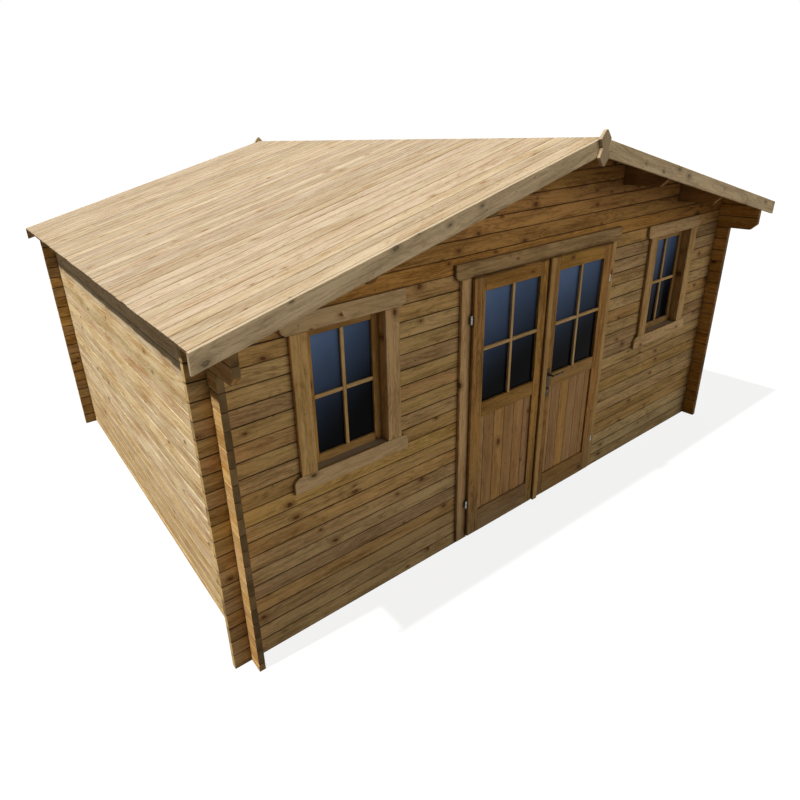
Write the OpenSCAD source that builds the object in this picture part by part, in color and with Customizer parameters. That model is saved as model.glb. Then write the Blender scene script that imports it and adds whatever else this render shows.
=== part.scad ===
// Log cabin with a low gable roof, crossed log corners, a double door and two windows.
// Millimetres. The front faces -Y, +Z is up, and the origin is on the ground below the middle.

/* [Walls] */
// Width over the outer faces of the side walls
wall_w = 4600; // [4400:10:5200]
// Depth over the outer faces of the front and back walls
wall_d = 3680; // [2600:10:4600]
// Thickness of a wall log
log_t = 36; // [28:1:44]
// Height of one course of logs
course = 95; // [92:0.5:100]
// Full courses in a side wall, above its half-height starter log
side_courses = 20; // [20:1:22]
// Height of the bevelled eave log at the outer wall face
eave_log = 41.5; // [34:0.5:60]
// Reach of the crossed log ends past the outer wall face
log_end = 98; // [70:1:130]
// Chamfer along the edges of a log
log_chamfer = 4; // [2:0.5:6]
// Width of the tongue on a log
tongue_w = 12; // [8:0.5:14]
// Height of the tongue on a log
tongue_h = 8; // [5:0.5:12]
// Side wall courses that run on under the roof as brackets, besides the eave log
bracket_courses = 2; // [1:1:4]
// Chamfer on the lower corner of the brackets and purlins
end_cut = 45; // [20:1:60]

/* [Roof] */
// Pitch of the roof in degrees
roof_pitch = 14; // [11:0.5:18]
// Thickness of the roof boarding
roof_t = 18; // [14:0.5:24]
// Reach of the eaves past the side walls
eave_over = 166; // [120:1:260]
// Reach of the front verge past the front wall
front_over = 317; // [240:1:420]
// Reach of the back verge past the back wall
back_over = 192; // [160:1:320]
// Distance of the inner purlins from the ridge
purlin_in = 776; // [600:1:1000]
// Distance of the outer purlins from the ridge
purlin_out = 1550; // [1300:1:1800]
// Width of a purlin
purlin_w = 45; // [35:1:60]
// Depth of a purlin at its upper face
purlin_h = 130; // [100:1:160]
// Depth of a bargeboard, square to the slope
barge_h = 93; // [70:1:130]
// Thickness of a bargeboard
barge_t = 20; // [14:0.5:28]
// Width of a finial across its shoulders
finial_w = 98; // [70:1:130]
// Half the height of a finial
finial_h = 96; // [70:1:120]
// Width of a finial at its waist
finial_waist = 54; // [30:1:64]
// Thickness of a finial
finial_t = 18; // [12:0.5:26]

/* [Windows] */
// Distance of the window centres from the middle of the front
win_x = 1555; // [1500:1:1600]
// Clear width inside a window lining
win_w = 478; // [400:1:560]
// Clear height inside a window lining
win_h = 781; // [640:1:800]
// Height of the window sill above the ground
win_sill = 1028; // [960:1:1080]
// Thickness of a window lining board
lining_t = 28; // [20:1:36]
// Depth of a window lining
lining_d = 82; // [78:1:120]
// Setback of a sash behind the outer wall face
sash_set = 40; // [20:1:44]
// Thickness of a sash
sash_t = 34; // [26:1:38]
// Width of the sash stiles and rails
sash_w = 50; // [36:1:64]
// Width of the window and door trim boards
trim_w = 95; // [70:1:100]
// Thickness of the trim boards
trim_t = 20; // [14:0.5:24]
// Reach of the cross trims past the upright trims
trim_ear = 48; // [24:1:70]
// Cut on the corners of the cross trims
trim_cut = 30; // [10:1:40]
// Thickness of the panes
pane_t = 4; // [3:0.5:6]
// Depth by which a pane or a panel enters its groove
groove_d = 9; // [6:0.5:14]

/* [Door] */
// Clear width between the door jambs
door_w = 1302; // [1260:1:1330]
// Courses up to the top of the door opening
door_courses = 20; // [20:1:21]
// Thickness of a jamb
jamb_t = 28; // [22:1:36]
// Height of the door head
head_h = 50; // [36:1:70]
// Depth of the jambs
jamb_d = 62; // [50:1:90]
// Setback of the door trims from the clear opening
trim_set = 12; // [8:1:20]
// Height of the door trims above the ground
trim_foot = 20; // [0:1:40]
// Height of the leaves above the ground
leaf_foot = 45; // [20:1:70]
// Overlap of a leaf on the frame, beyond the clear opening
lap = 28; // [20:1:36]
// Thickness of the lapping front of a leaf
lip_t = 18; // [14:0.5:22]
// Thickness of the part of a leaf behind its lip
core_t = 22; // [18:0.5:26]
// Clearance round a moving leaf
swing = 5; // [5:0.5:8]
// Offset of the meeting line from the middle of the doorway
meet_x = -12; // [-20:1:20]
// Width of the outer stiles
stile_w = 93; // [70:1:110]
// Position of the meeting edge of the glazing, from the middle of the doorway
meet_stile = 88; // [70:1:110]
// Height of the top rail
top_rail = 98; // [70:1:130]
// Height of the lock rail
lock_rail = 98; // [70:1:130]
// Height of the bottom rail
bottom_rail = 179; // [120:1:220]
// Height of the top of the lower panel above the ground
panel_top = 942; // [840:1:1000]
// Thickness of the lower panel
panel_t = 18; // [12:0.5:20]
// Width of the cover strip on the meeting edge
strip_w = 45; // [30:1:50]
// Thickness of the cover strip
strip_t = 15; // [8:0.5:20]

/* [Fittings] */
// Radius of a hinge barrel
barrel_r = 7; // [5:0.5:9]
// Radius of a hinge pin
pin_r = 4; // [3:0.25:4.5]
// Height of one half of a hinge barrel
barrel_h = 26; // [18:1:40]
// Height of the lower hinges above the ground
hinge_low = 309; // [240:1:500]
// Height of the upper hinges above the ground
hinge_high = 1614; // [1400:1:1700]
// Height of the lever above the ground
lever_z = 1048; // [1000:1:1080]
// Length of the lever
lever_l = 105; // [80:1:130]
// Radius of the lever
lever_r = 7; // [5:0.5:9]
// Width of the handle plate
plate_w = 38; // [28:1:42]
// Height of the handle plate
plate_h = 215; // [160:1:240]
// Thickness of the handle plate
plate_t = 4; // [2:0.5:6]
// Distance of the lock cylinder below the lever
lock_drop = 105; // [70:1:120]
// Radius of the lock cylinder
lock_r = 9; // [7:0.5:12]

/* [Fit] */
// Gap left between neighbouring pieces
fit = 0.3; // [0.2:0.05:0.5]
// Running clearance of a hinge pin in its barrel
run = 0.08; // [0.05:0.01:0.1]

/* [Hidden] */
$fn = 48;
slope = tan(roof_pitch);
rise = 1 / cos(roof_pitch);
half_w = wall_w / 2;
reach = half_w + log_end;
front_y = -(wall_d + back_over - front_over) / 2;
back_y = front_y + wall_d;
eave_z = (side_courses + 0.5) * course + eave_log;
ridge_z = eave_z + slope * half_w;
gable_first = floor((ridge_z - slope * reach) / course);
gable_last = ceil(ridge_z / course) - 1;
bracket_front = front_y - front_over + barge_t + fit;
bracket_back = back_y + back_over - barge_t - fit;
door_half = door_w / 2;
door_open = door_half + jamb_t + fit;
door_top = door_courses * course;
head_z = door_top - fit - head_h;
leaf_half = door_half + lap;
leaf_top = head_z + lap / 2 + trim_set / 2;
lip_back = front_y - trim_t - fit - swing;
leaf_front = lip_back - lip_t;
leaf_back = lip_back + core_t;
hinge_x = leaf_half + barrel_r + swing;
hinge_y = leaf_front + lip_t / 2;
glass_low = panel_top + lock_rail;
win_open = win_w / 2 + lining_t + fit;
win_bot = win_sill - lining_t - fit;
win_top = win_sill + win_h + lining_t + fit;

// Log cross-section, standing on the origin, with a tongue above and a groove below
module log_section(groove = true) {
    top = course - fit;
    mid = log_t / 2;
    slot = tongue_w / 2 + fit;
    dip = groove ? tongue_h + fit : 0;
    polygon([[log_chamfer, 0], [mid - slot, 0], [mid - slot, dip], [mid + slot, dip],
        [mid + slot, 0], [log_t - log_chamfer, 0], [log_t, log_chamfer],
        [log_t, top - log_chamfer], [log_t - log_chamfer, top], [mid + tongue_w / 2, top],
        [mid + tongue_w / 2, top + tongue_h], [mid - tongue_w / 2, top + tongue_h],
        [mid - tongue_w / 2, top], [log_chamfer, top], [0, top - log_chamfer],
        [0, log_chamfer]]);
}

// Flat-bottomed starter section without a groove
module starter_section(h) {
    top = h - fit;
    mid = log_t / 2;
    polygon([[0, 0], [log_t, 0], [log_t, top - log_chamfer], [log_t - log_chamfer, top],
        [mid + tongue_w / 2, top], [mid + tongue_w / 2, top + tongue_h],
        [mid - tongue_w / 2, top + tongue_h], [mid - tongue_w / 2, top],
        [log_chamfer, top], [0, top - log_chamfer]]);
}

// Quarter-course notches above and below the neck where two logs cross
module notch(x, y, mid_z) {
    w = log_t + 2 * fit;
    deep = course + tongue_h;
    neck = course / 4 - fit / 2;
    translate([x - w / 2, y - w / 2, mid_z + neck]) cube([w, w, deep]);
    translate([x - w / 2, y - w / 2, mid_z - neck - deep]) cube([w, w, deep]);
}

// Log number i along X in the wall whose outer or inner face starts at y
module cross_log(i, x0, x1, y) {
    mid_y = y + log_t / 2;
    difference() {
        translate([x0, y, i * course])
            rotate([90, 0, 90])
                linear_extrude(height = x1 - x0)
                    if (i == 0) starter_section(course);
                    else log_section();
        for (side = [-1, 1])
            if (side * (half_w - log_t / 2) > x0 && side * (half_w - log_t / 2) < x1)
                notch(side * (half_w - log_t / 2), mid_y, (i + 0.5) * course);
    }
}

// Notches of a side wall log where it crosses the front and back walls
module side_notches(x, mid_z) {
    notch(x + log_t / 2, front_y + log_t / 2, mid_z);
    notch(x + log_t / 2, back_y - log_t / 2, mid_z);
}

// Section drawn in X and Z, run along Y between y0 and y1
module along_y(x, y0, y1, z) {
    translate([x, y1, z])
        rotate([90, 0, 0])
            linear_extrude(height = y1 - y0)
                children();
}

// Sloping cut on the lower corner at both ends of a bracket or purlin
module end_cuts(x, w, z, y0, y1) {
    for (end = [0, 1])
        translate([x - 1, end == 0 ? y0 : y1, z])
            rotate([45, 0, 0])
                translate([0, -end_cut * sqrt(0.5), -end_cut * sqrt(0.5)])
                    cube([w + 2, end_cut * sqrt(2), end_cut * sqrt(2)]);
}

// One side wall: starter log, full courses, brackets under the roof and the bevelled eave log
module side_wall(x, outer) {
    low = front_y - log_end;
    high = back_y + log_end;
    first_bracket = side_courses - bracket_courses;
    difference() {
        along_y(x, low, high, 0) starter_section(course / 2);
        side_notches(x, 0);
    }
    for (j = [0 : side_courses - 1]) {
        z = (j + 0.5) * course;
        y0 = j < first_bracket ? low : bracket_front;
        y1 = j < first_bracket ? high : bracket_back;
        difference() {
            along_y(x, y0, y1, z) log_section();
            side_notches(x, z + course / 2);
            if (j == first_bracket) end_cuts(x, log_t, z, y0, y1);
        }
    }
    eave_base = eave_z - eave_log;
    inner = eave_log + slope * log_t;
    left_h = (outer < 0 ? eave_log : inner) - fit;
    right_h = (outer < 0 ? inner : eave_log) - fit;
    slot = tongue_w / 2 + fit;
    dip = tongue_h + fit;
    difference() {
        along_y(x, bracket_front, bracket_back, eave_base)
            polygon([[log_chamfer, 0], [log_t / 2 - slot, 0], [log_t / 2 - slot, dip],
                [log_t / 2 + slot, dip], [log_t / 2 + slot, 0], [log_t - log_chamfer, 0],
                [log_t, log_chamfer], [log_t, right_h], [0, left_h], [0, log_chamfer]]);
        for (y = [front_y + log_t / 2, back_y - log_t / 2])
            translate([x - 1, y - log_t / 2 - fit, eave_base - 1])
                cube([log_t + 2, log_t + 2 * fit, course / 4 + 1 + fit / 2]);
    }
}

// Space below the roof boarding, over the thickness of the wall at y
module under_roof(y) {
    translate([0, y + log_t + 1, 0])
        rotate([90, 0, 0])
            linear_extrude(height = log_t + 2)
                polygon([[-reach - 1, 0], [reach + 1, 0],
                    [reach + 1, ridge_z - fit - slope * (reach + 1)], [0, ridge_z - fit],
                    [-reach - 1, ridge_z - fit - slope * (reach + 1)]]);
}

// Purlin in place, grown by gap for the cut in the gable logs
module purlin(x, gap, y0, y1) {
    side = sign(x);
    inner = abs(x);
    base = ridge_z - slope * inner - purlin_h;
    top_in = ridge_z - slope * inner - fit;
    top_out = ridge_z - slope * (inner + purlin_w) - fit;
    along_y(0, y0, y1, 0)
        polygon([[side * (inner - gap), base - gap], [side * (inner + purlin_w + gap), base - gap],
            [side * (inner + purlin_w + gap), top_out + gap * 30],
            [side * (inner - gap), top_in + gap * 30]]);
}

// Logs in the wall at y, cut to the roof slope and let out for the purlins
module cut_to_roof(y)
    difference() {
        intersection() {
            children();
            under_roof(y);
        }
        for (x = [-purlin_out, -purlin_in, purlin_in, purlin_out])
            purlin(x, fit, y - 1, y + log_t + 1);
    }

module gable(y, first)
    cut_to_roof(y)
        for (i = [first : gable_last])
            cross_log(i, -reach, reach, y);

// Space of a window and its lining in the front wall
module window_space(x)
    translate([x - win_open, front_y - 1, win_bot])
        cube([2 * win_open, log_t + 2, win_top - win_bot]);

// One course of the front wall to one side of the doorway, stopped at the window
module front_course(i, side) {
    mid = side * win_x;
    near = side < 0 ? -door_open : reach;
    far = side < 0 ? -reach : door_open;
    if (i * course >= win_bot && (i + 1) * course + tongue_h <= win_top) {
        cross_log(i, far, mid - win_open, front_y);
        cross_log(i, mid + win_open, near, front_y);
    } else
        difference() {
            cross_log(i, far, near, front_y);
            window_space(mid);
        }
}

module front_logs(side)
    for (i = [0 : door_courses - 1])
        if (i < gable_first) front_course(i, side);
        else cut_to_roof(front_y) front_course(i, side);

module front_wall_left() color([0.62, 0.45, 0.26]) front_logs(-1);

module front_wall_right() color([0.62, 0.45, 0.26]) front_logs(1);

module front_gable()
    color([0.60, 0.43, 0.25])
        difference() {
            gable(front_y, door_courses);
            window_space(-win_x);
            window_space(win_x);
        }

module back_wall()
    color([0.62, 0.45, 0.26])
        for (i = [0 : gable_first - 1])
            cross_log(i, -reach, reach, back_y - log_t);

module back_gable() color([0.60, 0.43, 0.25]) gable(back_y - log_t, gable_first);

module left_wall() color([0.80, 0.66, 0.44]) side_wall(-half_w, -1);

module right_wall() color([0.80, 0.66, 0.44]) side_wall(half_w - log_t, 1);

module purlins()
    color([0.45, 0.31, 0.18])
        for (x = [-purlin_out, -purlin_in, purlin_in, purlin_out])
            difference() {
                purlin(x, 0, bracket_front, bracket_back);
                end_cuts(x < 0 ? x - purlin_w : x, purlin_w,
                    ridge_z - slope * abs(x) - purlin_h, bracket_front, bracket_back);
            }

// One roof slope of boarding, plumb at the ridge and square at the eave
module roof_slope(side) {
    out = half_w + eave_over;
    thick = roof_t * rise;
    back = roof_t * sin(roof_pitch);
    along_y(0, front_y - front_over + barge_t + fit, back_y + back_over - barge_t - fit, 0)
        polygon([[side * fit, ridge_z - slope * fit], [side * fit, ridge_z - slope * fit + thick],
            [side * out, ridge_z - slope * out + thick],
            [side * (out - back), ridge_z - slope * (out - back)]]);
}

module roof_left() color([0.86, 0.73, 0.52]) roof_slope(-1);

module roof_right() color([0.86, 0.73, 0.52]) roof_slope(1);

// Pair of bargeboards, flush with the top of the boarding
module bargeboards(y) {
    out = half_w + eave_over;
    top = ridge_z + roof_t * rise;
    deep = barge_h * rise;
    for (side = [-1, 1])
        along_y(0, y, y + barge_t, 0)
            polygon([[side * fit, top - slope * fit], [side * out, top - slope * out],
                [side * out, top - slope * out - deep], [side * fit, top - slope * fit - deep]]);
}

module front_bargeboards() color([0.60, 0.52, 0.39]) bargeboards(front_y - front_over);

module back_bargeboards() color([0.60, 0.52, 0.39]) bargeboards(back_y + back_over - barge_t);

// Hourglass boards over the joint of each pair of bargeboards
module finials() {
    mid = ridge_z + roof_t * rise - finial_h * 0.6;
    w = finial_w / 2;
    tip = finial_w / 12;
    color([0.62, 0.54, 0.42])
        for (y = [front_y - front_over - fit - finial_t, back_y + back_over + fit])
            along_y(0, y, y + finial_t, mid)
                polygon([[-tip, finial_h], [-w, finial_h / 2], [-finial_waist / 2, 0],
                    [-w, -finial_h / 2], [-tip, -finial_h], [tip, -finial_h],
                    [w, -finial_h / 2], [finial_waist / 2, 0], [w, finial_h / 2],
                    [tip, finial_h]]);
}

module door_frame()
    color([0.50, 0.34, 0.18]) {
        for (side = [-1, 1])
            translate([side < 0 ? -door_half - jamb_t : door_half, front_y, trim_foot])
                cube([jamb_t, jamb_d, head_z - fit - trim_foot]);
        translate([-door_half - jamb_t, front_y, head_z])
            cube([2 * door_half + 2 * jamb_t, jamb_d, head_h]);
    }

// Cross trim from x0 to x1, standing on z, with its corners cut on the edge that faces the opening
module cross_trim(x0, x1, z, over = true) {
    cut_z = over ? z : z + trim_w;
    far_z = over ? z + trim_w : z;
    mid_z = over ? z + trim_cut : z + trim_w - trim_cut;
    along_y(0, front_y - fit - trim_t, front_y - fit, 0)
        polygon([[x0 + trim_cut, cut_z], [x1 - trim_cut, cut_z], [x1, mid_z], [x1, far_z],
            [x0, far_z], [x0, mid_z]]);
}

module door_trim()
    color([0.58, 0.42, 0.24]) {
        in = door_half + trim_set;
        out = in + trim_w;
        top = head_z + trim_set;
        for (side = [-1, 1])
            translate([side < 0 ? -out : in, front_y - fit - trim_t, trim_foot])
                cube([trim_w, trim_t, top - fit - trim_foot]);
        cross_trim(-out - trim_ear, out + trim_ear, top);
    }

// Fixed half of each hinge: lower barrel with its pin and foot, and a shank back to the trim
module door_hinge_pins()
    color([0.72, 0.72, 0.70])
        for (side = [-1, 1], z = [hinge_low, hinge_high])
            translate([side * hinge_x, hinge_y, z - barrel_h]) {
                cylinder(r = barrel_r, h = barrel_h);
                translate([0, 0, -2]) cylinder(r = barrel_r * 0.7, h = 3);
                translate([0, 0, barrel_h - 1]) cylinder(r = pin_r, h = barrel_h * 0.8 + 1);
                translate([0, 0, barrel_h / 2])
                    rotate([-90, 0, 0])
                        cylinder(r = barrel_r * 0.6, h = front_y - 2 * fit - trim_t - hinge_y);
            }

// Box lining of a window opening
module window_lining(x) {
    for (side = [-1, 1])
        translate([x + (side < 0 ? -win_w / 2 - lining_t : win_w / 2), front_y, win_sill - lining_t])
            cube([lining_t, lining_d, win_h + 2 * lining_t]);
    for (z = [win_sill - lining_t, win_sill + win_h])
        translate([x - win_w / 2 + fit, front_y, z])
            cube([win_w - 2 * fit, lining_d, lining_t]);
}

module window_trim(x) {
    out = win_w / 2 + trim_w;
    for (side = [-1, 1])
        translate([x + (side < 0 ? -out : win_w / 2), front_y - fit - trim_t, win_sill + fit])
            cube([trim_w, trim_t, win_h - 2 * fit]);
    cross_trim(x - out - trim_ear, x + out + trim_ear, win_sill + win_h);
    cross_trim(x - out - trim_ear, x + out + trim_ear, win_sill - trim_w, false);
}

module pane(x, z, w, h, y, t)
    translate([x - w / 2, y - t / 2, z]) cube([w, t, h]);

// Sash of stiles and rails, grooved for its pane
module window_sash(x) {
    y = front_y + sash_set;
    z = win_sill + fit;
    h = win_h - 2 * fit;
    w = win_w - 2 * fit;
    difference() {
        union() {
            for (side = [-1, 1])
                translate([x + (side < 0 ? -w / 2 : w / 2 - sash_w), y, z])
                    cube([sash_w, sash_t, h]);
            for (low = [z, z + h - sash_w])
                translate([x - w / 2 + sash_w + fit, y, low])
                    cube([w - 2 * sash_w - 2 * fit, sash_t, sash_w]);
        }
        pane(x, z + sash_w - groove_d - fit, w - 2 * sash_w + 2 * groove_d + 2 * fit,
            h - 2 * sash_w + 2 * groove_d + 2 * fit, y + sash_t / 2, pane_t + 2 * fit);
    }
}

module window_glass(x)
    pane(x, win_sill + fit + sash_w - groove_d, win_w - 2 * fit - 2 * sash_w + 2 * groove_d,
        win_h - 2 * fit - 2 * sash_w + 2 * groove_d, front_y + sash_set + sash_t / 2, pane_t);

module left_window_lining() color([0.55, 0.39, 0.21]) window_lining(-win_x);

module left_window_trim() color([0.58, 0.42, 0.24]) window_trim(-win_x);

module left_window_sash() color([0.52, 0.36, 0.19]) window_sash(-win_x);

module left_window_glass() color([0.16, 0.22, 0.34, 0.6]) window_glass(-win_x);

module right_window_lining() color([0.55, 0.39, 0.21]) window_lining(win_x);

module right_window_trim() color([0.58, 0.42, 0.24]) window_trim(win_x);

module right_window_sash() color([0.52, 0.36, 0.19]) window_sash(win_x);

module right_window_glass() color([0.16, 0.22, 0.34, 0.6]) window_glass(win_x);

// Edges of a leaf from its hinge side to the meeting line; the right leaf carries the strip
function leaf_meet(side) = meet_x + side * (swing + 1) / 2;
function glass_meet(side) = side < 0 ? -meet_stile : meet_stile + strip_w / 3;
function glass_hinge(side) = side * (leaf_half - stile_w);

// Upright of a leaf between two X positions, lapped where it meets the frame
module leaf_upright(a, b, lapped) {
    x0 = min(a, b);
    x1 = max(a, b);
    core0 = lapped < 0 ? -door_half + swing : x0;
    core1 = lapped > 0 ? door_half - swing : x1;
    translate([x0, leaf_front, leaf_foot])
        cube([x1 - x0, lip_t, leaf_top - leaf_foot]);
    translate([core0, lip_back - 1, leaf_foot])
        cube([core1 - core0, core_t + 1, head_z - swing - leaf_foot]);
}

module leaf_rail(a, b, z0, z1) {
    x0 = min(a, b) + fit;
    x1 = max(a, b) - fit;
    translate([x0, leaf_front, z0]) cube([x1 - x0, lip_t, z1 - z0]);
    translate([x0, lip_back - 1, z0])
        cube([x1 - x0, core_t + 1, min(z1, head_z - swing) - z0]);
}

// Space of a pane or panel in a leaf, grown by gap
module leaf_fill(side, z0, z1, t, gap) {
    a = min(glass_hinge(side), glass_meet(side)) - groove_d - gap;
    b = max(glass_hinge(side), glass_meet(side)) + groove_d + gap;
    mid_y = (leaf_front + leaf_back) / 2;
    translate([a, mid_y - t / 2 - gap, z0 - groove_d - gap])
        cube([b - a, t + 2 * gap, z1 - z0 + 2 * groove_d + 2 * gap]);
}

module leaf_frame(side) {
    panel_low = leaf_foot + bottom_rail;
    glass_top = leaf_top - top_rail;
    difference() {
        union() {
            leaf_upright(side * leaf_half, glass_hinge(side), side);
            leaf_upright(glass_meet(side), leaf_meet(side), 0);
            leaf_rail(glass_hinge(side), glass_meet(side), leaf_foot, panel_low);
            leaf_rail(glass_hinge(side), glass_meet(side), panel_top, glass_low);
            leaf_rail(glass_hinge(side), glass_meet(side), glass_top, leaf_top);
        }
        leaf_fill(side, panel_low, panel_top, panel_t, fit);
        leaf_fill(side, glass_low, glass_top, pane_t, fit);
    }
}

module leaf_panel(side) leaf_fill(side, leaf_foot + bottom_rail, panel_top, panel_t, 0);

module leaf_glass(side) leaf_fill(side, glass_low, leaf_top - top_rail, pane_t, 0);

// Moving half of each hinge: capped upper barrel on the pin, with an arm to the edge of the leaf
module leaf_hinges(side)
    color([0.72, 0.72, 0.70])
        for (z = [hinge_low, hinge_high])
            translate([side * hinge_x, hinge_y, z + fit])
                difference() {
                    union() {
                        cylinder(r = barrel_r, h = barrel_h);
                        translate([0, 0, barrel_h - 1]) cylinder(r = barrel_r * 0.7, h = 3);
                        translate([side < 0 ? 0 : -barrel_r - swing + fit, -2.5, 0])
                            cube([barrel_r + swing - fit, 5, barrel_h]);
                    }
                    translate([0, 0, -1])
                        cylinder(r = pin_r + run, h = barrel_h * 0.8 + 2);
                }

module left_door_frame() color([0.50, 0.33, 0.18]) leaf_frame(-1);

module left_door_panel() color([0.56, 0.39, 0.22]) leaf_panel(-1);

module left_door_glass() color([0.16, 0.22, 0.34, 0.6]) leaf_glass(-1);

module left_door_hinges() leaf_hinges(-1);

module right_door_frame() color([0.50, 0.33, 0.18]) leaf_frame(1);

module right_door_panel() color([0.56, 0.39, 0.22]) leaf_panel(1);

module right_door_glass() color([0.16, 0.22, 0.34, 0.6]) leaf_glass(1);

module right_door_hinges() leaf_hinges(1);

module right_door_strip()
    color([0.60, 0.44, 0.26])
        translate([leaf_meet(1), leaf_front - fit - strip_t, leaf_foot])
            cube([strip_w, strip_t, leaf_top - leaf_foot]);

// Long round-ended plate with a lever on a collar above and a slotted lock cylinder below
module right_door_handle() {
    x = (leaf_meet(1) + strip_w + glass_meet(1)) / 2;
    face = leaf_front - fit;
    plate_z = lever_z - plate_h + 45;
    neck = 40;
    color([0.55, 0.50, 0.36]) {
        translate([x - plate_w / 2, face - plate_t, plate_z + plate_w / 2])
            cube([plate_w, plate_t, plate_h - plate_w]);
        for (z = [plate_z + plate_w / 2, plate_z + plate_h - plate_w / 2])
            translate([x, face, z]) rotate([90, 0, 0]) cylinder(r = plate_w / 2, h = plate_t);
        translate([x, face - plate_t + 1, lever_z])
            rotate([90, 0, 0]) cylinder(r = lever_r * 1.6, h = 9);
        translate([x, face - plate_t + 1, lever_z])
            rotate([90, 0, 0]) cylinder(r = lever_r, h = neck);
        translate([x, face - plate_t + 1 - neck, lever_z]) {
            sphere(r = lever_r);
            rotate([0, 90, 0]) cylinder(r = lever_r, h = lever_l);
            translate([lever_l, 0, 0]) sphere(r = lever_r);
        }
        difference() {
            translate([x, face - plate_t + 1, lever_z - lock_drop])
                rotate([90, 0, 0]) cylinder(r = lock_r, h = 9);
            translate([x - 1, face - plate_t - 9, lever_z - lock_drop - lock_r * 0.6])
                cube([2, 5, lock_r * 1.2]);
        }
    }
}

front_wall_left();
front_wall_right();
front_gable();
back_wall();
back_gable();
left_wall();
right_wall();
purlins();
roof_left();
roof_right();
front_bargeboards();
back_bargeboards();
finials();
door_frame();
door_trim();
door_hinge_pins();
left_window_lining();
left_window_trim();
left_window_sash();
left_window_glass();
right_window_lining();
right_window_trim();
right_window_sash();
right_window_glass();
left_door_frame();
left_door_panel();
left_door_glass();
left_door_hinges();
right_door_frame();
right_door_panel();
right_door_glass();
right_door_hinges();
right_door_strip();
right_door_handle();
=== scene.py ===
import math
import random

import bmesh
import bpy
from mathutils import Matrix, Vector


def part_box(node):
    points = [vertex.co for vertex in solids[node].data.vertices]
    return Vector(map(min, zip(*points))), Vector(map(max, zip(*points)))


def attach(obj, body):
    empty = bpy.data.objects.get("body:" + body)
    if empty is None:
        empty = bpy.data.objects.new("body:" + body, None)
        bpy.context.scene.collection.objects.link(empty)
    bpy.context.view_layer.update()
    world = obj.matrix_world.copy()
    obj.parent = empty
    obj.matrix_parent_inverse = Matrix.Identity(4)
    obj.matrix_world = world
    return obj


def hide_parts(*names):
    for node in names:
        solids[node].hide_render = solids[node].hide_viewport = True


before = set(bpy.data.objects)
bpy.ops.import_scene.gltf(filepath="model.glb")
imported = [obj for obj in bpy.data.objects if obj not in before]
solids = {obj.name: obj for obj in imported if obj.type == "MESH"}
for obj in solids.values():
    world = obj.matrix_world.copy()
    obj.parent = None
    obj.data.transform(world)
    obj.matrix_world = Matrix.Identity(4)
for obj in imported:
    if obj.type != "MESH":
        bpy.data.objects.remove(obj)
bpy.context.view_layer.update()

# Wall logs: planed softwood, impregnated brown, tongued and grooved and laid in courses of 95 mm.
# They lock together in notches at the corners, where their ends pass each other. The front and the
# side walls are one wood in two colours: the side walls are paler, partly bleached by the sun and
# partly painted light that makes up for the weak light on them; the front, which stays in the shade,
# is browner and warmer, partly painted warm shade.
COURSE = 0.095
DOOR_TOP = 1.9
FRONT_FACE, BACK_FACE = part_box("front_wall_left")[0].y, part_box("back_wall")[1].y
WALLS_MID, WALLS_HALF = (FRONT_FACE + BACK_FACE) / 2, (BACK_FACE - FRONT_FACE) / 2
FRONT_PALE, FRONT_BROWN, FRONT_END = (0.76, 0.50, 0.225), (0.315, 0.185, 0.07), (0.92, 0.62, 0.26)
GABLE_SHADED_PALE, GABLE_SHADED_BROWN = (0.70, 0.37, 0.105), (0.28, 0.127, 0.027)
SIDE_SUNLIT_PALE, SIDE_SUNLIT_BROWN, SIDE_END = (0.95, 0.75, 0.465), (0.565, 0.325, 0.125), (0.30, 0.20, 0.095)
KNOT_RED, KNOT_BROWN = (0.21, 0.085, 0.03), (0.06, 0.022, 0.009)
# The soil colour below also serves as the colour of painted shade in joints and crevices
SOIL_AND_SHADE = (0.035, 0.02, 0.008)
JOINT_NUDGE = 1e-4  # Keeps the faces in a joint on one side of the count of courses
# The amber below is painted shade, partly unbleached wood, for the inner faces and arms of the side walls
FRONT_WET, SIDE_WET, SIDE_AMBER_SHADE = (0.84, 0.88, 0.90), (0.92, 0.85, 0.66), (0.82, 0.61, 0.29)


def new_finish(name):
    """A new material, its node tree and its shader."""
    finish = bpy.data.materials.new(name)
    finish.use_nodes = True
    return finish, finish.node_tree, finish.node_tree.nodes["Principled BSDF"]


def put(tree, kind, sockets, out=0, **settings):
    """Adds a node, fills or links its sockets, and gives back one of its outlets."""
    made = tree.nodes.new("ShaderNode" + kind)
    for key, value in settings.items():
        setattr(made, key, value)
    for key, value in sockets.items():
        if isinstance(value, bpy.types.NodeSocket):
            tree.links.new(value, made.inputs[key])
        else:
            made.inputs[key].default_value = value
    return made.outputs[out]


def sum_up(tree, operation, a, b=0.0, c=0.0):
    return put(tree, "Math", {0: a, 1: b, 2: c}, operation=operation)


def ramp(tree, value, low, high, start=0.0, end=1.0):
    return put(tree, "MapRange", {0: value, 1: low, 2: high, 3: start, 4: end},
               interpolation_type="SMOOTHSTEP")


def tint(tree, amount, a, b):
    """Colour a going over to colour b."""
    four = [(*c, 1.0) if isinstance(c, tuple) else c for c in (a, b)]
    return put(tree, "Mix", {0: amount, 6: four[0], 7: four[1]}, out=2, data_type="RGBA")


def soak(tree, amount, colour, stain):
    """A colour darkened by a thin stain that leaves its grain in sight."""
    return put(tree, "Mix", {0: amount, 6: colour, 7: (*stain, 1.0)}, out=2, data_type="RGBA",
               blend_type="MULTIPLY")


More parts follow.
